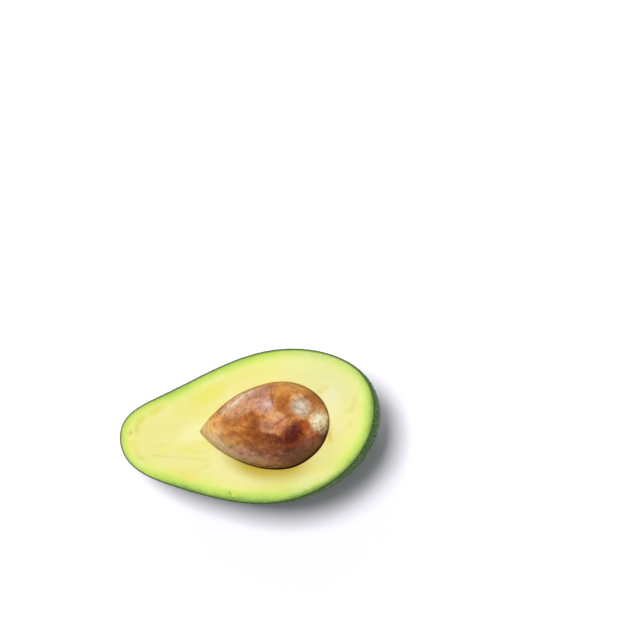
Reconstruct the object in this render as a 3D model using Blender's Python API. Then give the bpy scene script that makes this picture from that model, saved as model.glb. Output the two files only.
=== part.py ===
"""Half an avocado with its seed, cut lengthwise and lying on its rounded back, cut face up.

The fruit is shaped in its own frame, in metres: X runs along it from the neck (-X) to the broad
end (+X), the cut is the plane Z = 0, and the body lies below that plane. An empty then sets the
half down at the tilt at which it balances, with the middle of its base at the world's origin.
"""

import math

import bmesh
import bpy
from mathutils import Matrix, Vector, noise

# Sizes of the fruit
LENGTH = 0.118
HALF_WIDTH = 0.0306
DEPTH_RATIO = 1.12
SKIN_THICKNESS = 0.0010
CLEARANCE = 0.0003

# How full the fruit is along its length: powers of u, which runs from -1 at the neck to +1
FULLNESS = (1.0, 0.351, -0.143, -0.205, 0.235)

# Sideways bow of the fruit's middle line, in metres, on the same powers of u
BOW = (-0.00327, 0.00040, -0.00219)

# Pebbles of the skin, larger than life
PEBBLE_PITCH = 0.0052
PEBBLE_HEIGHT = 0.0006
PEBBLE_STRETCH = 1.35
CREASE_SHARE = 0.32
NECK_SMOOTHNESS = 0.55
NECK_SPAN = (-0.95, -0.25)
SCAR_RADIUS = 0.0040
SCAR_EDGE = (0.3, 1.0)

# The seed, a drop with its point towards the neck
SEED_LENGTH = 0.0586
SEED_RADIUS = 0.0179
SEED_CENTRE = (0.0093, -0.0029, 0.0)
SEED_TURN = math.radians(-2.8)
POINT_POWER = 0.855
BLUNT_POWER = 0.534
SEED_LUMP_PITCH = 0.014
SEED_LUMP_HEIGHT = 0.0004

# How the half lies: neck a little down, on a small flat spot
REST_TILT = math.radians(-7.5)
SPOT_DEPTH = 0.0006

# Faces along X, Y and Z of the whole ball that each surface is drawn from
SKIN_FACES = (56, 32, 32)
INSIDE_FACES = (22, 12, 12)
SEED_FACES = (18, 10, 10)

# Each piece's plain colour, as shares of red, green and blue light, and its roughness
PEEL_LOOK = ((0.060, 0.110, 0.035), 0.45)
FLESH_LOOK = ((0.86, 0.82, 0.32), 0.40)
SEED_LOOK = ((0.33, 0.14, 0.05), 0.38)

SHARP_ANGLE = math.radians(40)
ON_PLANE = 1e-7


def clear_scene():
    """Remove every object, so that the file holds this fruit alone."""
    for item in list(bpy.data.objects):
        bpy.data.objects.remove(item, do_unlink=True)


def power_series(factors, u):
    """Return the sum of factors[n] * u**n."""
    return sum(factor * u**power for power, factor in enumerate(factors))


def power_slope(factors, u):
    """Return the slope of power_series at u."""
    return sum(power * factor * u ** (power - 1) for power, factor in enumerate(factors) if power)


def ease(low, high, value):
    """Rise smoothly from 0 at low to 1 at high."""
    share = min(max((value - low) / (high - low), 0.0), 1.0)
    return share * share * (3.0 - 2.0 * share)


def skin_point(way):
    """Return the point and the outward normal of the smooth skin for a unit direction."""
    u = way.x
    girth = HALF_WIDTH * power_series(FULLNESS, u)
    girth_slope = HALF_WIDTH * power_slope(FULLNESS, u)
    middle = (1.0 - u * u) * power_series(BOW, u)
    middle_slope = (1.0 - u * u) * power_slope(BOW, u) - 2.0 * u * power_series(BOW, u)
    point = Vector((u * LENGTH / 2, middle + girth * way.y, DEPTH_RATIO * girth * way.z))
    round_part = way.y * way.y + way.z * way.z
    normal = Vector(
        (
            (u - round_part * girth_slope / girth - way.y * middle_slope / girth) * 2 / LENGTH,
            way.y / girth,
            way.z / (DEPTH_RATIO * girth),
        )
    )
    return point, normal.normalized()


def pebble_height(point):
    """Return how far the skin's relief stands out at a point: rounded pebbles with creases between.

    Pebbles rise by half their height above the smooth skin and creases sink as far below it. The
    relief dies away over the neck, and ends at the small scar where the stem was.
    """
    u = 2 * point.x / LENGTH
    place = Vector((point.x / PEBBLE_STRETCH, point.y, point.z)) / PEBBLE_PITCH
    nearest, second = noise.voronoi(place)[0][:2]
    pebble = ease(0.0, CREASE_SHARE, second - nearest) - 0.5
    roughness = 1.0 - NECK_SMOOTHNESS * (1.0 - ease(*NECK_SPAN, u))
    from_scar = (point - Vector((-LENGTH / 2, 0.0, 0.0))).length / SCAR_RADIUS
    return PEBBLE_HEIGHT * pebble * roughness * ease(*SCAR_EDGE, from_scar)


def seed_point(way, growth):
    """Return a point of the seed's surface, or of a surface that far outside it."""
    v = way.x
    widest = (POINT_POWER - BLUNT_POWER) / (POINT_POWER + BLUNT_POWER)
    scale = (1.0 + widest) ** POINT_POWER * (1.0 - widest) ** BLUNT_POWER
    radius = SEED_RADIUS / scale
    radius *= max(1.0 + v, 0.0) ** (POINT_POWER - 0.5) * max(1.0 - v, 0.0) ** (BLUNT_POWER - 0.5)
    point = Vector((v * SEED_LENGTH / 2, radius * way.y, radius * way.z))
    lump = SEED_LUMP_HEIGHT * noise.noise(point / SEED_LUMP_PITCH)
    point += way * (growth + lump)
    return Matrix.Rotation(SEED_TURN, 3, "Z") @ point + Vector(SEED_CENTRE)


def ball(faces):
    """Return a bmesh of a ball of radius 1, drawn as a cube with that many faces on each axis."""
    bm = bmesh.new()
    bmesh.ops.create_cube(bm, size=2.0)
    for axis, count in enumerate(faces):
        along = [e for e in bm.edges if (e.verts[0].co - e.verts[1].co)[axis] != 0.0]
        bmesh.ops.subdivide_edges(bm, edges=along, cuts=count - 1, use_grid_fill=True)
    for vert in bm.verts:
        spread = (math.tan(part * math.pi / 4) for part in vert.co)
        vert.co = Vector(spread).normalized()
    return bm


def lower_half(faces):
    """Return the half of the ball that lies below the plane of the cut, open along it."""
    bm = ball(faces)
    above = [v for v in bm.verts if v.co.z > ON_PLANE]
    bmesh.ops.delete(bm, geom=above, context="VERTS")
    for vert in bm.verts:
        if abs(vert.co.z) < ON_PLANE:
            vert.co.z = 0.0
    return bm


def up_at_rest():
    """Return the direction, in the fruit's own frame, that points up once the half lies down."""
    return Matrix.Rotation(REST_TILT, 3, "Y").inverted() @ Vector((0.0, 0.0, 1.0))


def spot_level():
    """Return the height of the flat spot along up_at_rest, a little above the lowest smooth skin."""
    bm = lower_half(SKIN_FACES)
    up = up_at_rest()
    lowest = min(skin_point(vert.co)[0].dot(up) for vert in bm.verts)
    bm.free()
    return lowest + SPOT_DEPTH


def add_skin_surface(bm, faces, inset, level, pebbled):
    """Add the fruit's rounded back to bm, that far inside the smooth skin, pressed flat at its base."""
    up = up_at_rest()
    half = lower_half(faces)
    for vert in half.verts:
        point, normal = skin_point(vert.co)
        height = pebble_height(point) if pebbled else 0.0
        point += normal * (height - inset)
        sunk = level + inset - point.dot(up)
        if sunk > 0.0:
            point += up * sunk
        vert.co = point
    merge(bm, half)


def add_hollow_surface(bm, growth):
    """Add the wall of the hollow that the seed lies in, that far clear of the seed."""
    half = lower_half(SEED_FACES)
    for vert in half.verts:
        vert.co = seed_point(vert.co, growth)
    merge(bm, half)


def merge(bm, other):
    """Copy another bmesh into bm and free it."""
    mesh = bpy.data.meshes.new("surface")
    other.to_mesh(mesh)
    other.free()
    bm.from_mesh(mesh)
    bpy.data.meshes.remove(mesh)


def close_cut_face(bm):
    """Fill the ring between the two open edges that lie in the plane of the cut."""
    rim = [e for e in bm.edges if e.is_boundary]
    bmesh.ops.triangle_fill(bm, edges=rim, use_beauty=True, normal=(0.0, 0.0, 1.0))
    bmesh.ops.recalc_face_normals(bm, faces=bm.faces)


def join_flat_spot(bm, level):
    """Make the flat spot one face."""
    up = up_at_rest()
    flat = [f for f in bm.faces if all(abs(v.co.dot(up) - level) < ON_PLANE for v in f.verts)]
    bmesh.ops.dissolve_faces(bm, faces=flat, use_verts=True)


def make_material(name, colour, roughness):
    """Return a plain material for one piece."""
    material = bpy.data.materials.new(name)
    material.use_nodes = True
    shader = material.node_tree.nodes["Principled BSDF"]
    shader.inputs["Base Color"].default_value = (*colour, 1.0)
    shader.inputs["Roughness"].default_value = roughness
    shader.inputs["Metallic"].default_value = 0.0
    return material


def make_object(name, bm, material, parent):
    """Turn a bmesh into a smooth-shaded object under the parent."""
    mesh = bpy.data.meshes.new(name)
    bm.to_mesh(mesh)
    bm.free()
    mesh.shade_smooth()
    mesh.set_sharp_from_angle(angle=SHARP_ANGLE)
    mesh.materials.append(material)
    item = bpy.data.objects.new(name, mesh)
    bpy.context.scene.collection.objects.link(item)
    item.parent = parent
    return item


def make_peel(parent, level):
    """The thin skin: pebbled outside, smooth inside, ending in a narrow ring at the cut."""
    bm = bmesh.new()
    add_skin_surface(bm, SKIN_FACES, 0.0, level, pebbled=True)
    add_skin_surface(bm, INSIDE_FACES, SKIN_THICKNESS, level, pebbled=False)
    close_cut_face(bm)
    join_flat_spot(bm, level)
    return make_object("peel", bm, make_material("peel", *PEEL_LOOK), parent)


def make_flesh(parent, level):
    """The flesh: it fills the peel, is flat where it was cut, and has the seed's hollow in it."""
    bm = bmesh.new()
    add_skin_surface(bm, INSIDE_FACES, SKIN_THICKNESS + CLEARANCE, level, pebbled=False)
    add_hollow_surface(bm, CLEARANCE)
    close_cut_face(bm)
    return make_object("flesh", bm, make_material("flesh", *FLESH_LOOK), parent)


def make_seed(parent):
    """The whole seed, half of it standing out of the flesh."""
    bm = ball(SEED_FACES)
    for vert in bm.verts:
        vert.co = seed_point(vert.co, 0.0)
    bmesh.ops.recalc_face_normals(bm, faces=bm.faces)
    return make_object("seed", bm, make_material("seed", *SEED_LOOK), parent)


def set_down(holder, pieces):
    """Move the holder so that the middle of the half's base is at the origin."""
    bpy.context.view_layer.update()
    corners = [item.matrix_world @ v.co for item in pieces for v in item.data.vertices]
    low = Vector([min(corner[axis] for corner in corners) for axis in range(3)])
    high = Vector([max(corner[axis] for corner in corners) for axis in range(3)])
    holder.location = (-(low.x + high.x) / 2, -(low.y + high.y) / 2, -low.z)
    bpy.context.view_layer.update()


def build():
    """Make the three pieces and lay the half on its back."""
    clear_scene()
    holder = bpy.data.objects.new("avocado_half", None)
    bpy.context.scene.collection.objects.link(holder)
    holder.rotation_euler = (0.0, REST_TILT, 0.0)
    level = spot_level()
    pieces = [make_peel(holder, level), make_flesh(holder, level), make_seed(holder)]
    set_down(holder, pieces)


build()
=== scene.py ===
import math

import bmesh
import bpy
import numpy as np
from mathutils import Euler, Matrix, Vector, kdtree, noise


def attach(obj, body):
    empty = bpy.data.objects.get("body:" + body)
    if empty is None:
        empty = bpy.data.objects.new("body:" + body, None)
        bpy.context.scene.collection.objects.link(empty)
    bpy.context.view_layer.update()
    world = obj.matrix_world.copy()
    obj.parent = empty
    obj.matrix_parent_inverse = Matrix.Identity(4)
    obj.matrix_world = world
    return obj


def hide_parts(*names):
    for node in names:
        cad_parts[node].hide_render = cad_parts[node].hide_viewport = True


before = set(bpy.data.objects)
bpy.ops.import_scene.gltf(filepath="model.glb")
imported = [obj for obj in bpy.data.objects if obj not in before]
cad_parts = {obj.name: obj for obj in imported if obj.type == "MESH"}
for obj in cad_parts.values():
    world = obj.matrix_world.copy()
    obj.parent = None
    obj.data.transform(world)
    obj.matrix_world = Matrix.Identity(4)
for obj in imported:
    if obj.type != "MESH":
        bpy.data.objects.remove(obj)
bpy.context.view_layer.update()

# The peel is the avocado's thin, tough green skin, pebbled outside, with pale dots all over it.
# It grew round the flesh. The lengthwise cut left a bowl of it about a millimetre thick, whose cut
# edge is dark outside and fresh green where it meets the flesh.
FRUIT_LENGTH = 0.118
HALF_WIDTH = 0.0306
DEPTH_RATIO = 1.12
PEEL_THICKNESS = 0.00095

# How full the fruit is, and how far its middle line bows sideways, as factors of the powers of u,
# which runs along the fruit from -1 at the neck to +1
FULLNESS = (1.0, 0.351, -0.143, -0.205, 0.235)
BOW = (-0.00327, 0.00040, -0.00219)

# How the half lies: its tilt, and where the middle of its cut face is
REST_TILT = math.radians(-7.5)
REST_PLACE = (-0.00025, 0.00313, 0.03367)

# Faces along X, Y and Z of the block that each surface starts as, and into how many each of them
# is then divided along every side
BLOCK_FACES = (56, 32, 32)
PEEL_ROUNDS = 4
INSIDE_ROUNDS = 2
ON_PLANE = 1e-6
SMOOTH_ANGLE = math.radians(40)

# The skin's relief: pebbles on broad swells, fainter at the neck and next to the cut. Spans along
# the fruit are on u.
PEBBLE_PITCH = 0.0019
PEBBLE_HEIGHT = 0.00022
CREASE_SHARE = 0.45
NECK_STRETCH = 1.3
STRETCH_SPAN = (-0.9, 0.2)
NECK_RELIEF = 0.35
NECK_SPAN = (-0.95, -0.2)
SWELL_PITCH = 0.011
SWELL_HEIGHT = 0.00016
RIM_RELIEF = 0.3
RIM_REACH = 0.010
SCAR_RADIUS = 0.0035
SCAR_CORE = 0.3

# Where the green next to the skin is only a thin line: at the neck and, less so, on the far side,
# where the lighter cut edge is also partly painted light
LIGHT_NECK_SPAN = (-0.45, -0.85)
LIT_FAR_SIDE_SHARE = 0.55
LIT_FAR_SIDE_REACH = 0.018


def coordinates(piece):
    """Returns a piece's vertices as rows of x, y and z."""
    flat = np.empty(len(piece.data.vertices) * 3)
    piece.data.vertices.foreach_get("co", flat)
    return flat.reshape(-1, 3)


def move_vertices(piece, points):
    """Moves a piece's vertices to the rows of points."""
    piece.data.vertices.foreach_set("co", np.asarray(points, float).ravel())
    piece.data.update()


def keep_number(piece, name, values):
    """Stores one number on each vertex, mostly for the piece's material to read."""
    held = piece.data.attributes.new(name, "FLOAT", "POINT")
    held.data.foreach_set("value", np.asarray(values, np.float32))


def pick(piece):
    """Makes one piece the only selected and active object."""
    bpy.ops.object.select_all(action="DESELECT")
    piece.select_set(True)
    bpy.context.view_layer.objects.active = piece


def divided_block(name, rounds):
    """Adds a cube two units across, divides its sides into small faces and stays in edit mode."""
    bpy.ops.object.select_all(action="DESELECT")
    bpy.ops.mesh.primitive_cube_add(size=2)
    piece = bpy.context.object
    piece.name = name
    piece.data.name = name
    bpy.ops.object.mode_set(mode="EDIT")
    bpy.ops.mesh.select_mode(type="EDGE")
    for axis, count in enumerate(BLOCK_FACES):
        bpy.ops.mesh.select_all(action="DESELECT")
        shape = bmesh.from_edit_mesh(piece.data)
        for edge in shape.edges:
            edge.select_set((edge.verts[0].co - edge.verts[1].co)[axis] != 0.0)
        bmesh.update_edit_mesh(piece.data)
        bpy.ops.mesh.subdivide(number_cuts=count - 1)
    bpy.ops.mesh.select_all(action="SELECT")
    bpy.ops.mesh.subdivide(number_cuts=rounds - 1)
    return piece


def rounded(corners):
    """Returns points of the cube's sides moved onto the ball of radius 1, evenly spread."""
    corners = np.tan(corners * math.pi / 4)
    return corners / np.linalg.norm(corners, axis=1)[:, None]


def half_ball(name, rounds):
    """Returns the half of a divided ball of radius 1 that lies below the cut, open along it."""
    piece = divided_block(name, rounds)
    bpy.ops.mesh.bisect(plane_co=(0, 0, 0), plane_no=(0, 0, 1), clear_outer=True)
    bpy.ops.object.mode_set(mode="OBJECT")
    corners = coordinates(piece)
    corners[np.abs(corners[:, 2]) < ON_PLANE, 2] = 0.0
    move_vertices(piece, rounded(corners))
    return piece


def turn_inwards(piece):
    """Turns a surface's faces round, so that it can be the inner side of a wall."""
    pick(piece)
    bpy.ops.object.mode_set(mode="EDIT")
    bpy.ops.mesh.select_all(action="SELECT")
    bpy.ops.mesh.flip_normals()
    bpy.ops.object.mode_set(mode="OBJECT")


def join_edges(*parts, **bridge):
    """Joins the open surfaces into the first one and closes the ring between their two edges."""
    bpy.ops.object.select_all(action="DESELECT")
    for part in parts:
        part.select_set(True)
    bpy.context.view_layer.objects.active = parts[0]
    bpy.ops.object.join()
    bpy.ops.object.mode_set(mode="EDIT")
    bpy.ops.mesh.select_all(action="DESELECT")
    bpy.ops.mesh.select_mode(type="EDGE")
    bpy.ops.mesh.select_non_manifold()
    bpy.ops.mesh.bridge_edge_loops(**bridge)
    bpy.ops.object.mode_set(mode="OBJECT")


def series(factors, u):
    """Returns the sum of factors[n] * u**n and its slope."""
    total = sum(factor * u**power for power, factor in enumerate(factors))
    slope = sum(power * factor * u ** (power - 1) for power, factor in enumerate(factors) if power)
    return total, slope


def fruit_surface(ways):
    """Returns the points and the outward normals of the smooth fruit for rows of unit directions."""
    u, across, down = ways.T
    girth, girth_slope = (HALF_WIDTH * part for part in series(FULLNESS, u))
    bow, bow_slope = series(BOW, u)
    middle = (1 - u * u) * bow
    middle_slope = (1 - u * u) * bow_slope - 2 * u * bow
    points = np.stack([u * FRUIT_LENGTH / 2, middle + girth * across, DEPTH_RATIO * girth * down], 1)
    lean = u - (across**2 + down**2) * girth_slope / girth - across * middle_slope / girth
    normals = np.stack([lean * 2 / FRUIT_LENGTH, across / girth, down / (DEPTH_RATIO * girth)], 1)
    return points, normals / np.linalg.norm(normals, axis=1)[:, None]


def ease(low, high, value):
    """Rises smoothly from 0 at low to 1 at high."""
    share = np.clip((value - low) / (high - low), 0, 1)
    return share * share * (3 - 2 * share)


def soft_heights(points, pitch=1.0):
    """Returns a soft random height between -1 and 1 for each point, in swells that far apart."""
    return np.array([noise.noise(Vector(point) / pitch) for point in points])


def skin_relief(points):
    """Returns how far the skin stands out: pebbles, drawn out towards the neck, on broad swells.

    The relief dies away at the small scar where the stem was and grows fainter towards the cut.
    """
    u = points[:, 0] * 2 / FRUIT_LENGTH

    # The stretched length adds up over small steps, which run a little past both ends
    steps = np.linspace(-1.1, 1.1, 221)
    stretch = 1 + NECK_STRETCH * (1 - ease(*STRETCH_SPAN, steps))
    along = np.interp(u, steps, np.cumsum(1 / stretch) * (steps[1] - steps[0])) * FRUIT_LENGTH / 2

    places = np.column_stack([along, points[:, 1:]]) / PEBBLE_PITCH
    nearest = np.array([noise.voronoi(Vector(place))[0][:2] for place in places])
    pebbles = PEBBLE_HEIGHT * (ease(0, CREASE_SHARE, nearest[:, 1] - nearest[:, 0]) - 0.5)
    pebbles *= NECK_RELIEF + (1 - NECK_RELIEF) * ease(*NECK_SPAN, u)
    swells = soft_heights(points, SWELL_PITCH) * SWELL_HEIGHT
    from_stem = np.linalg.norm(points - [-FRUIT_LENGTH / 2, 0, 0], axis=1)
    calm = RIM_RELIEF + (1 - RIM_RELIEF) * ease(0, RIM_REACH, -points[:, 2])
    return (pebbles + swells) * calm * ease(SCAR_CORE * SCAR_RADIUS, SCAR_RADIUS, from_stem)


def lay_down(points, floor=0.0):
    """Turns and moves points from the upright fruit to where it lies, pressed flat at that height."""
    turned = points @ np.array(Matrix.Rotation(REST_TILT, 3, "Y")).T + REST_PLACE
    turned[:, 2] = np.maximum(turned[:, 2], floor)
    return turned


def lighter_edge(points):
    """Returns 1 at the neck and, weaker, along the far side, where the green is only a thin line; the
    far side's lighter edge is partly painted light.
    """
    at_neck = ease(*LIGHT_NECK_SPAN, points[:, 0] * 2 / FRUIT_LENGTH)
    return np.maximum(at_neck, LIT_FAR_SIDE_SHARE * ease(0.0, LIT_FAR_SIDE_REACH, points[:, 1]))


def keep_skin_numbers(piece, smooth_skin, depth):
    """Stores how deep in the skin the vertices lie, where along the fruit, and how near the cut."""
    keep_number(piece, "depth", np.full(len(smooth_skin), depth))
    keep_number(piece, "along", smooth_skin[:, 0] * 2 / FRUIT_LENGTH)
    keep_number(piece, "below_cut", -smooth_skin[:, 2])
    keep_number(piece, "lighter_edge", lighter_edge(smooth_skin))


peel = half_ball("peel_skin", PEEL_ROUNDS)
smooth_skin, outward = fruit_surface(coordinates(peel))
move_vertices(peel, lay_down(smooth_skin + outward * skin_relief(smooth_skin)[:, None]))
keep_skin_numbers(peel, smooth_skin, 0.0)

lining = half_ball("peel_lining", INSIDE_ROUNDS)
smooth_skin, outward = fruit_surface(coordinates(lining))
move_vertices(lining, lay_down(smooth_skin - outward * PEEL_THICKNESS, PEEL_THICKNESS))
keep_skin_numbers(lining, smooth_skin, PEEL_THICKNESS)
turn_inwards(lining)
join_edges(peel, lining)
bpy.ops.object.shade_smooth_by_angle(angle=SMOOTH_ANGLE)


def paint(red, green, blue):
    """Turns a colour of 0 to 255 as a screen shows it into what a shader takes."""
    shares = (red / 255, green / 255, blue / 255)
    return (*(s / 12.92 if s <= 0.04045 else ((s + 0.055) / 1.055) ** 2.4 for s in shares), 1.0)


DEEP_GREEN = paint(42, 76, 24)
LEAF_GREEN = paint(70, 114, 38)
CLOUD_GREEN = paint(84, 128, 50)
SHADE_GREEN = paint(34, 60, 22)
NECK_GREEN = paint(98, 148, 56)
OCHRE_GREEN = paint(112, 118, 44)
GAP_GREEN = paint(24, 46, 18)
# A fresher green for next to the cut, also darker there as painted shade
RIM_GREEN_AND_SHADE = paint(60, 104, 34)
RUST_BROWN = paint(116, 74, 42)

# Small and large dots: cells to the metre, their size as a share of a cell, how strongly the
# strongest ones show, and their colour
DOTS = (
    (1500, 0.46, 0.70, paint(116, 156, 84)),
    (900, 0.38, 0.95, paint(160, 186, 94)),
)

# The cut edge's colours from the outside inwards, and those where it is lighter, which on the far
# side is partly painted light
CUT_EDGE = (
    (0.0, paint(28, 42, 14)),
    (0.30, paint(60, 82, 32)),
    (0.50, paint(98, 130, 54)),
    (1.0, paint(124, 156, 68)),
)
LIGHT_CUT_EDGE = (
    (0.0, paint(46, 46, 22)),
    (0.35, paint(80, 84, 44)),
    (0.55, paint(150, 174, 88)),
    (1.0, paint(180, 206, 108)),
)


def start_material(name, **values):
    """Returns a new material, its node tree and its shader, with the values set on the shader."""
    material = bpy.data.materials.new(name)
    material.use_nodes = True
    shader = material.node_tree.nodes["Principled BSDF"]
    for socket, value in values.items():
        shader.inputs[socket.replace("_", " ")].default_value = value
    return material, material.node_tree, shader


def plug(tree, value, socket):
    """Links another node's output to a socket, or sets the socket to a plain value."""
    if isinstance(value, bpy.types.NodeSocket):
        tree.links.new(value, socket)
    else:
        socket.default_value = value


def node(tree, kind, settings=None, **inputs):
    """Adds a shader node. An input takes a value or another node's output."""
    new = tree.nodes.new("ShaderNode" + kind)
    for name, value in (settings or {}).items():
        setattr(new, name, value)
    for name, value in inputs.items():
        plug(tree, value, new.inputs[name.replace("_", " ")])
    return new


def kept(tree, name, output="Fac"):
    """Returns the number that a piece's vertices keep under that name, or the place as a vector."""
    return node(tree, "Attribute", {"attribute_name": name}).outputs[output]


def blend(tree, share, under, over, mode="MIX"):
    """Lays one colour over another by a share, and returns the mixed colour.

    A Mix node's colour sockets come after those for numbers and vectors, so they go by place.
    """
    mix = node(tree, "Mix", {"data_type": "RGBA", "blend_type": mode})
    plug(tree, share, mix.inputs[0])
    plug(tree, under, mix.inputs[6])
    plug(tree, over, mix.inputs[7])
    return mix.outputs[2]


def calc(tree, operation, first, second=0.0):
    """Returns the result of one sum on two numbers."""
    new = node(tree, "Math", {"operation": operation})
    plug(tree, first, new.inputs[0])
    plug(tree, second, new.inputs[1])
    return new.outputs["Value"]


def tinge(tree, colour, share, strength, tint):
    """Lays a tint over a colour by a share times a strength."""
    return blend(tree, calc(tree, "MULTIPLY", share, strength), colour, tint)


def ramp(tree, value, stops):
    """Returns a colour that runs through the stops, each a position and a colour."""
    new = node(tree, "ValToRGB", Fac=value)
    while len(new.color_ramp.elements) < len(stops):
        new.color_ramp.elements.new(0.5)
    for element, (position, colour) in zip(new.color_ramp.elements, stops):
        element.position = position
        element.color = colour
    return new.outputs["Color"]


def span(tree, value, low, high, to_low=0.0, to_high=1.0):
    """Maps a value from one span smoothly to another."""
    settings = {"interpolation_type": "SMOOTHSTEP"}
    limits = {"From_Min": low, "From_Max": high, "To_Min": to_low, "To_Max": to_high}
    return node(tree, "MapRange", settings, Value=value, **limits).outputs["Result"]


def cloud(tree, place, scale, detail=3.0, roughness=0.5, output="Fac"):
    """Returns a soft random pattern as a number or a colour, in scale cells to the metre."""
    new = node(tree, "TexNoise", Vector=place, Scale=scale, Detail=detail, Roughness=roughness)
    return new.outputs[output]


def stray(tree, place, pattern, reach):
    """Returns the place moved about by a coloured pattern, so that what is drawn there is ragged."""
    centred = node(tree, "VectorMath", {"operation": "SUBTRACT"})
    plug(tree, pattern, centred.inputs[0])
    plug(tree, (0.5, 0.5, 0.5), centred.inputs[1])
    moved = node(tree, "VectorMath", {"operation": "MULTIPLY_ADD"})
    plug(tree, centred.outputs[0], moved.inputs[0])
    plug(tree, (reach, reach, reach), moved.inputs[1])
    plug(tree, place, moved.inputs[2])
    return moved.outputs[0]


def scaled(tree, place, *scale):
    """Returns the place stretched or squeezed along its axes."""
    return node(tree, "Mapping", Vector=place, Scale=scale).outputs["Vector"]


def peel_material():
    """The skin's greens, its pale dots, its few rusty marks and its cut edge, with a dull shine."""
    material, tree, shader = start_material("avocado_peel", IOR=1.4, Specular_IOR_Level=0.12)
    place = node(tree, "TexCoord").outputs["Object"]

    # Greens in broad and fine clouds, lighter towards the neck, and ochre here and there
    fine = cloud(tree, place, 420, 4.0, 0.65)
    green = blend(tree, span(tree, cloud(tree, place, 55), 0.36, 0.64), DEEP_GREEN, LEAF_GREEN)
    green = blend(tree, span(tree, cloud(tree, place, 130, 4.0), 0.42, 0.72), green, CLOUD_GREEN)
    green = tinge(tree, green, span(tree, fine, 0.5, 0.32), 0.55, SHADE_GREEN)
    green = tinge(tree, green, span(tree, kept(tree, "along"), -0.35, -0.98), 0.8, NECK_GREEN)
    green = tinge(tree, green, span(tree, cloud(tree, place, 38), 0.56, 0.72), 0.35, OCHRE_GREEN)

    # Dark gaps and pale dots, both drawn out along the fruit, the dots ragged and of all strengths
    drawn = scaled(tree, place, 0.7, 1.0, 1.0)
    warped = stray(tree, drawn, cloud(tree, drawn, 520, output="Color"), 0.0011)
    gaps = span(tree, cloud(tree, drawn, 1100, 2.0), 0.54, 0.42)
    green = tinge(tree, green, gaps, 0.75, GAP_GREEN)
    for scale, size, strongest, tint in DOTS:
        cells = node(tree, "TexVoronoi", Vector=warped, Scale=scale, Randomness=0.95)
        lot = node(tree, "SeparateColor", Color=cells.outputs["Color"]).outputs["Red"]
        dots = span(tree, cells.outputs["Distance"], size, size * 0.4)
        green = tinge(tree, green, dots, span(tree, lot, 0.0, 0.8, 0.1, strongest), tint)

    # A fresher, darker green next to the cut, partly painted shade on the flank below the cut, and a
    # few rusty marks
    green = tinge(tree, green, span(tree, kept(tree, "below_cut"), 0.006, 0.0), 0.5, RIM_GREEN_AND_SHADE)
    rust = span(tree, cloud(tree, place, 120, 5.0, 0.7), 0.66, 0.78)
    green = tinge(tree, green, rust, 0.5, RUST_BROWN)

    # The cut edge, coloured from the outside inwards
    inwards = calc(tree, "DIVIDE", kept(tree, "depth"), PEEL_THICKNESS)
    dark_edge = ramp(tree, inwards, CUT_EDGE)
    light_edge = ramp(tree, inwards, LIGHT_CUT_EDGE)
    edge = blend(tree, kept(tree, "lighter_edge"), dark_edge, light_edge)
    colour = blend(tree, span(tree, inwards, 0.02, 0.12), green, edge)
    tree.links.new(colour, shader.inputs["Base Color"])

    # A fine grain in the shine and in the surface, and the larger dots stand out a little
    tree.links.new(span(tree, fine, 0.3, 0.7, 0.42, 0.60), shader.inputs["Roughness"])
    bumps = calc(tree, "ADD", calc(tree, "MULTIPLY", cells.outputs["Distance"], -0.8), fine)
    bump = node(tree, "Bump", Height=bumps, Strength=0.9, Distance=0.0008)
    tree.links.new(bump.outputs["Normal"], shader.inputs["Normal"])
    return material


peel.data.materials.append(peel_material())
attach(peel, "root")
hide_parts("peel")

# The flesh is one soft, oily body that fills the peel, butter yellow inside and green near the skin.
# The knife left its face flat and faintly streaked, and the seed's place is a hollow in it.
SEED_LENGTH = 0.0586
SEED_RADIUS = 0.0179
SEED_CENTRE = (0.0093, -0.0029, 0.0)
SEED_TURN = math.radians(-2.8)
POINT_POWER = 0.855
BLUNT_POWER = 0.534
SEED_LUMP_PITCH = 0.014
SEED_LUMP_HEIGHT = 0.0004

# How far the hollow stands off the seed's smooth form, how much more where it is open, and where
# that begins, as directions from the seed's middle
HOLLOW_GAP = 0.00005
SHADED_GAP = 0.00035
OPEN_ALONG = (-0.5, 0.3)
OPEN_ACROSS = (0.1, -0.5)

# Rings of narrow faces next to the skin, each that far inside the peel, and how many rows of faces
# lie between them and the hollow
RIM_RINGS = (0.0003, 0.0006, 0.0010, 0.0014, 0.0019, 0.0025, 0.0032, 0.0040, 0.0050)
FACE_CUTS = 34

# The hollow's vertices keep this instead of an inset, which tells them from the rest once joined
HOLLOW_MARK = 1.0

# What the flesh keeps for its colours, measured on the cut face from outlines of that many
# points: a depth for all that lies below the face, how much thinner the green is where it is a
# thin line, where along the seed and how far from it the painted shade lies, and over what
# distance the colour of the hollow's wall fades out on the face
OUTLINE_POINTS = 2400
INNER_DEPTH = 0.02
LIGHTER_SHIFT = 0.0019
SHADE_AND_STAIN_START = (-0.75, -0.15)
SHADE_AND_STAIN_END = (0.85, 0.35)
SHADE_AND_STAIN_REACH = 0.0075
WALL_FADE = 0.0005

# The knife's traces: long strokes and low mounds, mostly below the plane of the cut. They fade
# out towards the skin, from the last of these distances on.
KNIFE_HEIGHT = 0.00007
KNIFE_STROKE = (0.03, 0.0022)
KNIFE_MOUND = (0.009, 0.006)
STROKE_SHARE = 0.5
KNIFE_DROP = 0.8
KNIFE_FADE = 0.003


def plain_seed(ways):
    """Returns points of a smooth drop round the origin, pointed towards -X, for unit directions."""
    v = ways[:, 0]
    widest = (POINT_POWER - BLUNT_POWER) / (POINT_POWER + BLUNT_POWER)
    radius = SEED_RADIUS / ((1 + widest) ** POINT_POWER * (1 - widest) ** BLUNT_POWER)
    radius = radius * np.maximum(1 + v, 0) ** (POINT_POWER - 0.5)
    radius = radius * np.maximum(1 - v, 0) ** (BLUNT_POWER - 0.5)
    return np.stack([v * SEED_LENGTH / 2, radius * ways[:, 1], radius * ways[:, 2]], 1)


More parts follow.
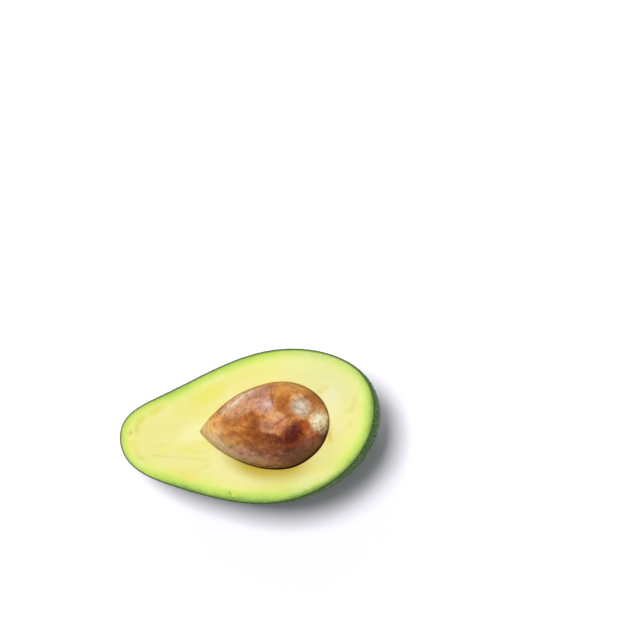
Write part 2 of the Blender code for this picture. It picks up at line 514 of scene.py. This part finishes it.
def seed_surface(ways, growth):
    """Returns points of the seed's surface, or of one that far outside it, for unit directions."""
    points = plain_seed(ways)
    lumps = soft_heights(points, SEED_LUMP_PITCH)
    points += ways * np.reshape(growth + SEED_LUMP_HEIGHT * lumps, (-1, 1))
    return points @ np.array(Matrix.Rotation(SEED_TURN, 3, "Z")).T + SEED_CENTRE


def open_side(ways):
    """Returns 1 where the hollow stands open, on the near side of the broad end, and 0 elsewhere."""
    return ease(*OPEN_ALONG, ways[:, 0]) * ease(*OPEN_ACROSS, ways[:, 1])


def kept_numbers(piece, name):
    """Returns the numbers that a piece's vertices keep under that name."""
    values = np.empty(len(piece.data.vertices), np.float32)
    piece.data.attributes[name].data.foreach_get("value", values)
    return values


def outline_tree(outline):
    """Returns a search tree over a closed outline's points."""
    tree = kdtree.KDTree(len(outline))
    for index, point in enumerate(outline):
        tree.insert(point, index)
    tree.balance()
    return tree


def knife_swells(points, size, layer):
    """Returns soft random heights over the cut face, in swells that long and wide."""
    layers = np.full(len(points), layer)
    return soft_heights(np.column_stack([points[:, :2] / size, layers]))


flesh = half_ball("flesh_half", INSIDE_ROUNDS)
keep_number(flesh, "inset", np.full(len(flesh.data.vertices), PEEL_THICKNESS))
pick(flesh)
bpy.ops.object.mode_set(mode="EDIT")
bpy.ops.mesh.select_mode(type="EDGE")
bpy.ops.mesh.select_all(action="DESELECT")
bpy.ops.mesh.select_non_manifold()
for ring in RIM_RINGS:
    bpy.ops.mesh.extrude_edges_move()
    shape = bmesh.from_edit_mesh(flesh.data)
    inset = shape.verts.layers.float["inset"]
    for vert in shape.verts:
        if vert.select:
            vert[inset] = PEEL_THICKNESS + ring
    bmesh.update_edit_mesh(flesh.data)
bpy.ops.object.mode_set(mode="OBJECT")
smooth_skin, outward = fruit_surface(coordinates(flesh))
move_vertices(flesh, smooth_skin - outward * kept_numbers(flesh, "inset")[:, None])

hollow = half_ball("seed_hollow", INSIDE_ROUNDS)
ways = coordinates(hollow)
move_vertices(hollow, seed_surface(ways, HOLLOW_GAP + SHADED_GAP * open_side(ways)))
keep_number(hollow, "inset", np.full(len(ways), HOLLOW_MARK))
turn_inwards(hollow)
join_edges(flesh, hollow, number_cuts=FACE_CUTS, interpolation="LINEAR")
bpy.ops.object.mode_set(mode="EDIT")
bpy.ops.mesh.select_all(action="SELECT")
bpy.ops.mesh.normals_make_consistent(inside=False)
bpy.ops.object.mode_set(mode="OBJECT")

angles = np.linspace(0, 2 * math.pi, OUTLINE_POINTS, endpoint=False)
circle = np.stack([np.cos(angles), np.sin(angles), np.zeros_like(angles)], 1)
skin_edge = outline_tree(fruit_surface(circle)[0])
seed_edge = outline_tree(seed_surface(circle, 0.0))
points = coordinates(flesh)
on_face = np.abs(points[:, 2]) < ON_PLANE
depths = np.array([skin_edge.find(point)[2] for point in points])
face_depths = depths + LIGHTER_SHIFT * lighter_edge(points)
keep_number(flesh, "depth", np.where(on_face, face_depths, INNER_DEPTH))
nearest = [seed_edge.find(point)[1:] for point in points]
gaps = np.array([gap for index, gap in nearest])
beside = circle[[index for index, gap in nearest]]
keep_number(flesh, "from_seed", gaps)
keep_number(flesh, "open_side", open_side(beside))
# Painted shade on the face beside the seed's near side, fading out away from it
under_seed = ease(*SHADE_AND_STAIN_START, beside[:, 0]) * ease(*SHADE_AND_STAIN_END, beside[:, 0]) * (beside[:, 1] < 0)
keep_number(flesh, "shade_and_stain", under_seed * ease(SHADE_AND_STAIN_REACH, 0.0, gaps))
in_hollow = kept_numbers(flesh, "inset") > HOLLOW_MARK / 2
keep_number(flesh, "hollow", np.where(on_face, ease(WALL_FADE, 0.0, gaps), in_hollow))

strokes = knife_swells(points, KNIFE_STROKE, 1.7)
mounds = knife_swells(points, KNIFE_MOUND, 5.1)
calm = ease(PEEL_THICKNESS, KNIFE_FADE, depths)
traces = KNIFE_HEIGHT * calm * (STROKE_SHARE * strokes + mounds - KNIFE_DROP)
points[:, 2] += np.where(on_face, traces, 0)
move_vertices(flesh, lay_down(points, PEEL_THICKNESS))
pick(flesh)
bpy.ops.object.shade_smooth_by_angle(angle=SMOOTH_ANGLE)

PALE_FLESH = paint(230, 226, 162)
GOLD_FLESH = paint(226, 219, 112)
STRAND_YELLOW = paint(212, 200, 104)
# The painted shade beside the seed, warm as if lit by the brown seed, over a slight ochre stain
SHADE_AND_STAIN_YELLOW = paint(188, 162, 18)

# The thin line round the seed and the hollow's wall, each where the seed sits snug and where the
# hollow is open. The darker open ones are the seed's brown skin with painted shade in the gap.
SNUG_LINE = paint(186, 150, 66)
OPEN_SHADED_LINE = paint(128, 94, 32)
SNUG_WALL = paint(168, 132, 52)
OPEN_SHADED_WALL = paint(66, 34, 14)

# Colours by their distance from the skin's outside, in millimetres, and where their ramp ends
FLESH_BY_DEPTH = (
    (0.9, (124, 154, 66)),
    (1.35, (136, 168, 74)),
    (1.7, (150, 184, 76)),
    (2.1, (165, 197, 80)),
    (2.7, (178, 207, 86)),
    (3.5, (191, 215, 94)),
    (4.5, (205, 222, 106)),
    (5.5, (217, 225, 120)),
    (7.0, (223, 223, 132)),
    (9.5, (226, 221, 138)),
)
DEEPEST = 10

# Each is a place on the cut face, a half length and half width, all in millimetres, a turn in
# degrees, a colour and how strongly it shows. The areas are mostly broad, and the marks mostly
# small and broken up by specks.
FLESH_AREAS = (
    ((36.0, 17.0), (17.0, 11.0), -40, (212, 216, 150), 0.60),
    ((39.2, 8.0), (4.0, 7.5), 10, (222, 222, 170), 0.75),
    ((41.2, -3.0), (3.2, 5.5), 5, (222, 216, 154), 0.70),
    ((10.0, 23.5), (13.0, 2.6), 4, (222, 221, 120), 0.60),
    ((24.0, 24.0), (11.0, 3.0), -8, (222, 226, 150), 0.60),
    ((-15.5, 16.9), (10.0, 3.4), 22, (222, 219, 98), 0.85),
    ((-23.0, 1.5), (8.0, 4.0), 16, (232, 229, 160), 0.80),
    ((-27.8, -16.0), (6.0, 1.8), -24, (228, 214, 106), 0.60),
    ((3.0, -17.0), (7.5, 1.6), -26, (222, 208, 104), 0.50),
    ((30.0, -24.2), (11.0, 2.1), 19, (231, 229, 152), 0.70),
)
FLESH_MARKS = (
    ((-41.6, 13.1), (4.6, 1.5), 18, (210, 210, 74), 0.65),
    ((-48.6, 10.0), (2.4, 1.5), 35, (204, 208, 78), 0.70),
    ((-53.7, 5.0), (1.3, 1.1), 60, (170, 186, 66), 0.75),
    ((-50.3, 7.0), (2.8, 1.2), 80, (206, 200, 78), 0.60),
    ((-51.7, -0.5), (1.8, 3.6), 20, (222, 216, 84), 0.55),
    ((-52.6, 3.0), (1.4, 2.0), 60, (236, 226, 128), 0.60),
    ((-48.9, -6.3), (3.4, 1.1), -28, (202, 204, 84), 0.50),
    ((-39.0, -6.6), (6.0, 0.5), -10, (208, 206, 126), 0.60),
    ((-24.0, -9.6), (11.0, 0.5), -12, (212, 208, 130), 0.45),
    ((46.6, -3.7), (2.0, 1.3), 40, (216, 206, 108), 0.45),
    ((49.2, 4.8), (1.2, 3.4), -20, (206, 202, 100), 0.50),
    ((46.1, 2.6), (2.4, 1.0), 15, (210, 204, 104), 0.45),
    ((36.0, 12.6), (2.8, 1.4), 15, (216, 202, 96), 0.70),
    # Painted shade in the gap beside the seed's broad end
    ((37.9, -6.0), (1.0, 2.8), 6, (202, 174, 78), 0.60),
    ((-7.4, -26.8), (0.5, 2.2), 22, (92, 122, 40), 0.85),
    ((-6.4, -26.2), (1.6, 1.2), 20, (206, 220, 76), 0.70),
)


def mark(tree, place, at, size, turn, softness):
    """Returns a share that is 1 inside an oval and fades out round it, its place and size in mm."""
    inside = node(
        tree,
        "Mapping",
        {"vector_type": "TEXTURE"},
        Vector=place,
        Location=(at[0] / 1000, at[1] / 1000, 0.0),
        Rotation=(0.0, 0.0, math.radians(turn)),
        Scale=(size[0] / 1000, size[1] / 1000, 1.0),
    )
    far = node(tree, "VectorMath", {"operation": "LENGTH"})
    plug(tree, inside.outputs["Vector"], far.inputs[0])
    return span(tree, far.outputs["Value"], 1 + softness, 1 - softness)


def touch_up(tree, colour, place, patches, shown=1.0, softness=0.6):
    """Lays patches over a colour, each by its strength times how much of it is shown."""
    for at, size, turn, tint, strength in patches:
        share = mark(tree, place, at, size, turn, softness)
        through = calc(tree, "MULTIPLY", shown, strength)
        colour = tinge(tree, colour, share, through, paint(*tint))
    return colour


def flesh_material():
    """Butter yellow, green towards the skin, with faint strands and stains and an oily shine."""
    material, tree, shader = start_material(
        "avocado_flesh",
        Roughness=0.42,
        IOR=1.42,
        Subsurface_Weight=0.12,
        Subsurface_Radius=(1.0, 0.7, 0.25),
        Subsurface_Scale=0.0008,
    )
    place = node(tree, "TexCoord").outputs["Object"]
    depth = kept(tree, "depth")
    beside = kept(tree, "open_side")

    # From green to yellow, along lines that waver slowly and quickly
    slow = calc(tree, "MULTIPLY", calc(tree, "SUBTRACT", cloud(tree, place, 75, 2.0), 0.5), 0.0026)
    quick = calc(tree, "MULTIPLY", calc(tree, "SUBTRACT", cloud(tree, place, 420), 0.5), 0.0012)
    wavering = calc(tree, "ADD", depth, calc(tree, "ADD", slow, quick))
    level = calc(tree, "DIVIDE", wavering, DEEPEST / 1000)
    colour = ramp(tree, level, [(mm / DEEPEST, paint(*tint)) for mm, tint in FLESH_BY_DEPTH])

    # Paler and more golden clouds, which begin some way inside the skin
    ripe = calc(tree, "MULTIPLY", span(tree, depth, 0.002, 0.006), 0.6)
    colour = tinge(tree, colour, span(tree, cloud(tree, place, 60), 0.46, 0.72), ripe, PALE_FLESH)
    gold = cloud(tree, scaled(tree, place, 0.5, 1.0, 1.0), 110, 4.0)
    colour = tinge(tree, colour, span(tree, gold, 0.48, 0.72), ripe, GOLD_FLESH)

    # Fine strands that run along the fruit, in some places only
    drawn = stray(tree, place, cloud(tree, place, 60, 2.0, output="Color"), 0.006)
    strands = cloud(tree, scaled(tree, drawn, 0.12, 1.0, 1.0), 420, 4.0, 0.6)
    somewhere = span(tree, cloud(tree, place, 90), 0.4, 0.6)
    streaks = calc(tree, "MULTIPLY", span(tree, strands, 0.52, 0.72), somewhere)
    colour = tinge(tree, colour, streaks, 0.34, STRAND_YELLOW)

    ragged = stray(tree, place, cloud(tree, place, 260, 4.0, 0.65, "Color"), 0.0040)
    colour = touch_up(tree, colour, ragged, FLESH_AREAS)
    broken = stray(tree, place, cloud(tree, place, 620, 4.0, 0.7, "Color"), 0.0020)
    specks = span(tree, cloud(tree, place, 700, 3.0, 0.7), 0.32, 0.52)
    colour = touch_up(tree, colour, broken, FLESH_MARKS, specks)

    # What lies next to the seed: painted shade beside it, warm as if lit by the brown seed, over a
    # slight ochre stain; the line round it and the hollow's wall, partly painted shade where it is
    # open
    colour = tinge(tree, colour, kept(tree, "shade_and_stain"), 0.95, SHADE_AND_STAIN_YELLOW)
    line_strength = calc(tree, "ADD", calc(tree, "MULTIPLY", beside, 0.6), 0.3)
    line_colour = blend(tree, beside, SNUG_LINE, OPEN_SHADED_LINE)
    line = span(tree, kept(tree, "from_seed"), 0.0008, 0.0001)
    # Where the hollow is open, the line and the wall are darker: painted shade in the gap
    colour = tinge(tree, colour, line, line_strength, line_colour)
    wall = blend(tree, beside, SNUG_WALL, OPEN_SHADED_WALL)
    colour = blend(tree, kept(tree, "hollow"), colour, wall)
    tree.links.new(colour, shader.inputs["Base Color"])

    grain = cloud(tree, place, 900, 4.0, 0.6)
    bumps = calc(tree, "ADD", grain, calc(tree, "MULTIPLY", strands, 0.8))
    bump = node(tree, "Bump", Height=bumps, Strength=0.25, Distance=0.00015)
    tree.links.new(bump.outputs["Normal"], shader.inputs["Normal"])
    return material


flesh.data.materials.append(flesh_material())
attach(flesh, "root")
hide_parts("flesh")

# The seed is one hard drop with its point towards the neck, in a thin, smooth brown coat that is
# mottled, streaked and pale where it has worn, with a few painted highlights among the pale patches
# and painted shade towards the broad end below. It sits half sunk in the flesh, held by nothing else.
SEED_ROUNDS = 2
WRINKLE_SIZE = (0.016, 0.0028, 0.0028)
WRINKLE_HEIGHT = 0.00012
WRINKLE_DROP = 1.4
ON_AXIS = 1e-6


def keep_place(piece, name, rows):
    """Stores one place on each vertex, as x, y and z, for the piece's material to read."""
    held = piece.data.attributes.new(name, "FLOAT_VECTOR", "POINT")
    held.data.foreach_set("vector", np.asarray(rows, np.float32).ravel())


seed = divided_block("seed_whole", SEED_ROUNDS)
bpy.ops.object.mode_set(mode="OBJECT")
move_vertices(seed, rounded(coordinates(seed)))
ways = coordinates(seed)
smooth_drop = plain_seed(ways)
wrinkles = WRINKLE_HEIGHT * (soft_heights(smooth_drop / WRINKLE_SIZE) - WRINKLE_DROP)
move_vertices(seed, lay_down(seed_surface(ways, wrinkles)))

# Coat is a place on the smooth drop, counted from its point. Turned is how far along the seed it
# is and which way it faces round the seed, for streaks that run from end to end.
keep_place(seed, "coat", smooth_drop + [SEED_LENGTH / 2, 0, 0])
across = np.maximum(np.hypot(ways[:, 1], ways[:, 2]), ON_AXIS)
round_seed = [(ways[:, 0] + 1) / 2, ways[:, 1] / across, ways[:, 2] / across]
keep_place(seed, "turned", np.stack(round_seed, 1))
pick(seed)
bpy.ops.object.shade_smooth()

# Where the coat's upper side passes into its lower one, as angles round the seed
SIDE_BORDER = (math.radians(-46), math.radians(-34))
SEED_ABOVE = (
    (0.34, paint(144, 76, 22)),
    (0.50, paint(178, 108, 42)),
    (0.66, paint(202, 140, 66)),
)
SEED_BELOW = (
    (0.32, paint(102, 50, 28)),
    (0.48, paint(148, 86, 54)),
    (0.60, paint(174, 113, 78)),
    (0.74, paint(204, 148, 104)),
)
# The darker broad end of the lower side, partly painted shade
SEED_DARK_END = paint(86, 40, 16)
SEED_RUST = paint(112, 52, 20)
SEED_LINES = paint(110, 62, 36)

# Greys that darken or lighten the coat where they are laid over it
FLECKS = (
    (0.30, (0.20, 0.20, 0.20, 1.0)),
    (0.50, (0.50, 0.50, 0.50, 1.0)),
    (0.70, (0.78, 0.78, 0.78, 1.0)),
)

# Each is a place on the coat's upper side, as millimetres from the point and millimetres across,
# then its half length and half width, its turn in degrees, its colour and how strongly it shows.
# A few are painted highlights.
SEED_PATCHES_AND_HIGHLIGHTS = (
    ((6.0, -2.5), (8.5, 5.5), 0, (246, 204, 142), 0.85),
    ((12.5, -7.6), (11.0, 2.6), -31, (224, 184, 134), 0.90),
    ((24.0, -11.6), (8.0, 2.2), -16, (198, 148, 108), 0.75),
    ((12.5, 2.2), (7.0, 2.6), 28, (222, 160, 76), 0.85),
    ((21.5, -7.4), (7.5, 1.9), -18, (208, 154, 88), 0.70),
    ((22.5, 2.2), (3.4, 1.6), 18, (136, 66, 22), 0.75),
    ((25.0, -0.4), (3.0, 1.9), -10, (140, 68, 20), 0.75),
    ((30.0, 1.5), (5.0, 0.9), -4, (144, 76, 34), 0.60),
    ((26.5, -3.4), (4.0, 1.4), -16, (208, 142, 66), 0.55),
    ((34.0, -1.6), (2.4, 2.8), -20, (126, 62, 24), 0.75),
    ((31.5, -5.2), (6.0, 2.0), -22, (156, 82, 30), 0.70),
    ((36.2, -7.0), (4.2, 2.6), -10, (116, 50, 18), 0.85),
    ((29.5, -9.0), (6.5, 1.2), -12, (158, 84, 42), 0.60),
    ((22.5, 9.4), (9.5, 2.8), 25, (208, 176, 136), 0.90),
    ((24.5, 10.6), (7.0, 0.8), 26, (228, 212, 182), 0.60),
    ((27.0, 5.6), (8.5, 2.8), 14, (204, 152, 112), 0.85),
    ((33.6, 10.8), (5.6, 4.0), 20, (176, 126, 102), 0.85),
    # Painted highlight: a pale lilac patch, over the back lamp's real reflection
    ((38.0, 5.8), (4.0, 3.4), 0, (190, 148, 134), 0.85),
    ((38.6, 6.4), (2.0, 1.7), 0, (208, 174, 164), 0.60),
    ((46.0, 12.0), (7.0, 4.6), -12, (198, 134, 58), 0.95),
    ((45.8, 5.4), (3.8, 4.8), 10, (160, 90, 32), 0.90),
    ((42.4, 1.2), (3.8, 1.8), -5, (208, 156, 104), 0.85),
    ((39.8, -2.5), (4.0, 1.9), -3, (166, 110, 86), 0.85),
    ((40.2, -5.2), (4.6, 0.8), -20, (200, 144, 102), 0.60),
    ((45.2, -3.2), (3.0, 2.4), 10, (186, 116, 78), 0.70),
    ((42.0, -10.0), (6.0, 2.3), -6, (112, 52, 24), 0.85),
    ((41.6, -7.2), (4.0, 1.0), -20, (104, 44, 20), 0.85),
    ((51.4, -8.8), (3.8, 2.1), 20, (130, 64, 38), 0.90),
    ((53.6, -9.3), (2.6, 1.9), 35, (142, 88, 58), 0.70),
    ((54.6, 8.6), (4.6, 2.6), -55, (160, 84, 34), 0.95),
    ((57.2, 5.6), (1.8, 2.2), -60, (196, 140, 78), 0.50),
    # Partly painted reflection: a whitish grey patch near the broad end
    ((51.4, 4.9), (4.9, 3.0), -62, (182, 160, 130), 0.95),
    ((51.5, 4.5), (2.6, 1.5), -62, (200, 188, 170), 0.75),
    ((49.2, 9.7), (2.0, 1.1), 0, (208, 168, 128), 0.70),
    # Partly painted highlight: a bright cream patch at the broad end
    ((56.8, -0.8), (4.3, 2.2), 76, (226, 210, 166), 1.00),
    ((56.9, 0.2), (2.0, 1.2), 76, (240, 234, 210), 0.75),
    ((53.0, -2.7), (1.7, 2.8), 30, (168, 76, 26), 0.90),
    ((55.2, -6.1), (1.9, 0.9), 30, (172, 86, 52), 0.80),
    ((48.5, -6.1), (5.8, 3.2), 56, (122, 40, 14), 1.00),
    ((33.5, -11.0), (7.0, 2.0), -10, (128, 68, 40), 0.70),
    ((45.6, -8.6), (5.4, 1.6), 12, (104, 36, 14), 0.85),
    ((44.6, -1.2), (3.4, 0.7), 38, (120, 52, 26), 0.70),
    ((48.4, -6.3), (4.2, 2.0), 56, (80, 16, 6), 1.00),
    ((50.9, -4.9), (2.6, 0.6), -30, (58, 12, 6), 0.90),
    # Painted glint on the dark maroon patch
    ((50.4, -4.3), (0.9, 0.7), 0, (124, 64, 50), 0.40),
    ((50.0, -1.5), (1.9, 0.5), 8, (84, 32, 20), 0.65),
    ((45.4, -12.5), (2.2, 0.4), 15, (64, 20, 10), 0.90),
    ((49.0, -14.6), (9.0, 2.8), 24, (108, 64, 36), 0.85),
    ((28.5, -15.2), (8.0, 1.3), -10, (204, 154, 104), 0.70),
)
SEED_SEAM = ((39.6, 10.2), (5.0, 0.3), -69, (112, 62, 36), 0.55)


def seed_material():
    """Orange-brown above and pinkish brown below, mottled, with a tan point, worn patches, a few
    painted highlights and some painted shade.
    """
    material, tree, shader = start_material("avocado_seed", IOR=1.45, Specular_IOR_Level=0.3)
    place = node(tree, "TexCoord").outputs["Object"]
    coat = kept(tree, "coat", "Vector")
    turned = kept(tree, "turned", "Vector")
    ragged = stray(tree, coat, cloud(tree, place, 230, 8.0, 0.76, "Color"), 0.0050)
    mottle = cloud(tree, place, 420, 6.0, 0.72)
    streaks = cloud(tree, scaled(tree, turned, 2.2, 1.0, 1.0), 8.0, 6.0, 0.62)

    # The coat's two sides, the lower one dark towards the broad end, partly as painted shade
    parts = node(tree, "SeparateXYZ", Vector=ragged).outputs
    dark_end = span(tree, parts["X"], 0.034, 0.054, 0.0, 0.85)
    below = blend(tree, dark_end, ramp(tree, streaks, SEED_BELOW), SEED_DARK_END)
    above = ramp(tree, cloud(tree, place, 170, 3.0, 0.6), SEED_ABOVE)
    facing = calc(tree, "ARCTAN2", parts["Y"], parts["Z"])
    colour = blend(tree, span(tree, facing, *SIDE_BORDER), below, above)

    speckled = span(tree, cloud(tree, place, 800, 5.0, 0.75), 0.36, 0.58, 0.6, 1.0)
    colour = touch_up(tree, colour, ragged, SEED_PATCHES_AND_HIGHLIGHTS, speckled, 0.45)
    colour = touch_up(tree, colour, coat, [SEED_SEAM], softness=0.8)

    # Mottling, rusty spots and fine dark lines over all of it
    colour = blend(tree, 0.8, colour, ramp(tree, mottle, FLECKS), "OVERLAY")
    colour = tinge(tree, colour, span(tree, mottle, 0.42, 0.30), 0.5, SEED_RUST)
    colour = tinge(tree, colour, span(tree, streaks, 0.44, 0.30), 0.4, SEED_LINES)
    tree.links.new(colour, shader.inputs["Base Color"])

    tree.links.new(span(tree, mottle, 0.3, 0.7, 0.42, 0.60), shader.inputs["Roughness"])
    bumps = calc(tree, "ADD", streaks, calc(tree, "MULTIPLY", mottle, 0.5))
    bump = node(tree, "Bump", Height=bumps, Strength=0.4, Distance=0.0002)
    tree.links.new(bump.outputs["Normal"], shader.inputs["Normal"])
    return material


seed.data.materials.append(seed_material())
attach(seed, "root")
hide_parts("seed")

# The floor is a plain white table, far wider than the view.
FLOOR_WIDTH = 60.0
FLOOR_COLOUR = (0.93, 0.91, 0.98, 1.0)
FLOOR_ROUGHNESS = 0.7

bpy.ops.object.select_all(action="DESELECT")
bpy.ops.mesh.primitive_plane_add(size=FLOOR_WIDTH)
floor = bpy.context.object
floor.name = "floor"
white = start_material("floor_white", Base_Color=FLOOR_COLOUR, Roughness=FLOOR_ROUGHNESS)[0]
floor.data.materials.append(white)

# Soft studio light: a pale room, a strong broad lamp high above, and two weak ones: a lower one
# behind, for a soft reflection along the far side of the seed, and one low at the broad end.
ROOM_COLOUR = (0.90, 0.89, 1.0, 1.0)
ROOM_LIGHT = 0.20
HIGH_LAMP = {"way": (0.02, 0.08, 1.0), "distance": 2.0, "size": 0.68, "power": 36.5}
BACK_LAMP = {"way": (-0.39, 0.78, 0.49), "distance": 1.0, "size": 0.35, "power": 1.8}
SIDE_LAMP = {"way": (1.0, 0.0, 0.12), "distance": 1.0, "size": 0.4, "power": 2.6}


def soft_lamp(name, way, distance, size, power):
    """Hangs a square lamp that far from the half in that direction, facing it."""
    lamp = bpy.data.objects.new(name, bpy.data.lights.new(name, "AREA"))
    bpy.context.scene.collection.objects.link(lamp)
    lamp.data.size = size
    lamp.data.energy = power
    lamp.location = Vector(way).normalized() * distance
    lamp.rotation_euler = (-lamp.location).to_track_quat("-Z", "Y").to_euler()
    lamp.visible_camera = False


soft_lamp("high_lamp", **HIGH_LAMP)
soft_lamp("back_lamp", **BACK_LAMP)
soft_lamp("side_lamp", **SIDE_LAMP)
room = bpy.data.worlds.new("room")
room.use_nodes = True
room.node_tree.nodes["Background"].inputs["Color"].default_value = ROOM_COLOUR
room.node_tree.nodes["Background"].inputs["Strength"].default_value = ROOM_LIGHT
bpy.context.scene.world = room
bpy.context.scene.view_settings.view_transform = "Standard"

# The camera looks down on the cut face, at the angle from which the picture shows it. Its place
# is in metres, its turn in degrees, and its lens and sensor are in millimetres.
CAMERA_PLACE = (0.21545, -0.12006, 0.69909)
CAMERA_TURN = (12.389, 15.885, -3.371)
CAMERA_LENS = 95.6
CAMERA_SENSOR = 36
NEAREST_SEEN = 0.01

camera = bpy.data.objects.new("camera", bpy.data.cameras.new("camera"))
bpy.context.scene.collection.objects.link(camera)
camera.location = CAMERA_PLACE
camera.rotation_euler = Euler([math.radians(angle) for angle in CAMERA_TURN])
camera.data.lens = CAMERA_LENS
camera.data.sensor_width = CAMERA_SENSOR
camera.data.clip_start = NEAREST_SEEN
bpy.context.scene.camera = camera
